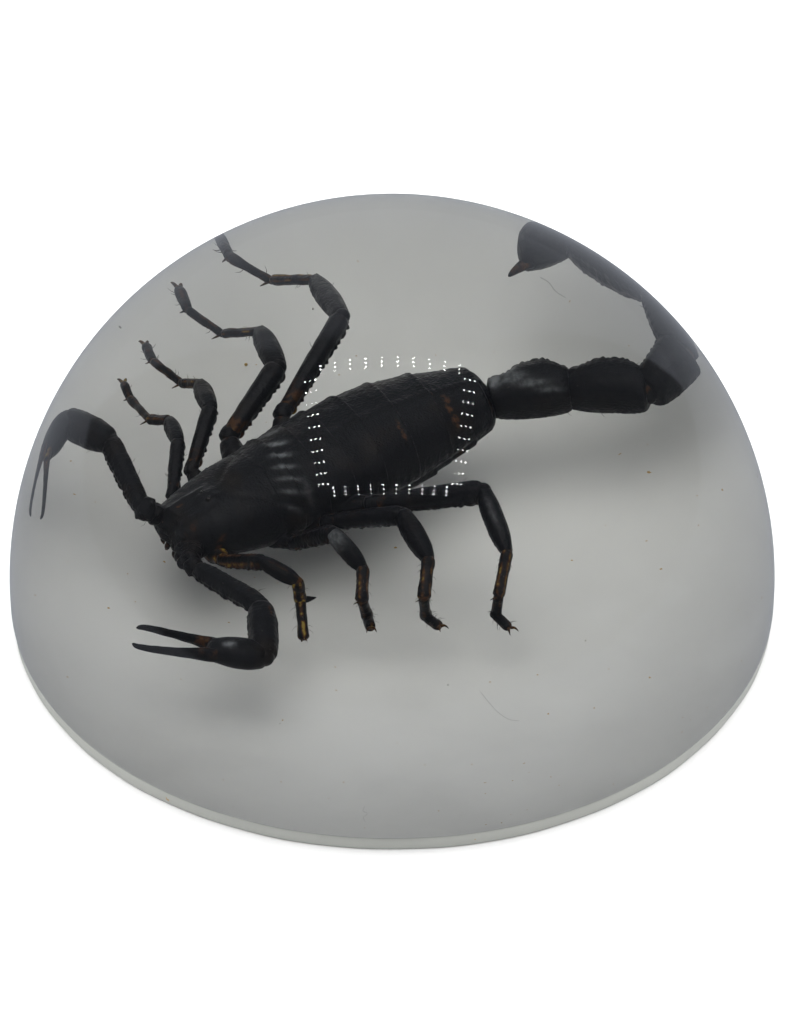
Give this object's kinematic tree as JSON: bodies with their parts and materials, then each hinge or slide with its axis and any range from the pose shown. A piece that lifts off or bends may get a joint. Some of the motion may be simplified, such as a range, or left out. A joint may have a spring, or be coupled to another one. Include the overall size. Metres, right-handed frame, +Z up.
{
  "type": "scorpion in clear resin dome",
  "caption": "Half-ball paperweight of clear resin with a dried scorpion, its tail curled round, cast inside and a thin white disc under it.",
  "frame": {"origin": "centre of the white disc's underside, which is what the paperweight stands on", "axes": "+Z up through the top of the dome, +X towards the right of the picture, +Y away from the viewer"},
  "size_m": [0.08, 0.08, 0.0419],
  "materials": {
    "white_backing": "satin white sheet",
    "clear_resin": "polished clear casting resin",
    "dark_shell": "granular near-black shell"
  },
  "bodies": {
    "root": {"backing": "white_backing", "resin_lower": "clear_resin", "resin_upper": "clear_resin", "scorpion": "dark_shell"}
  },
  "joints": []
}
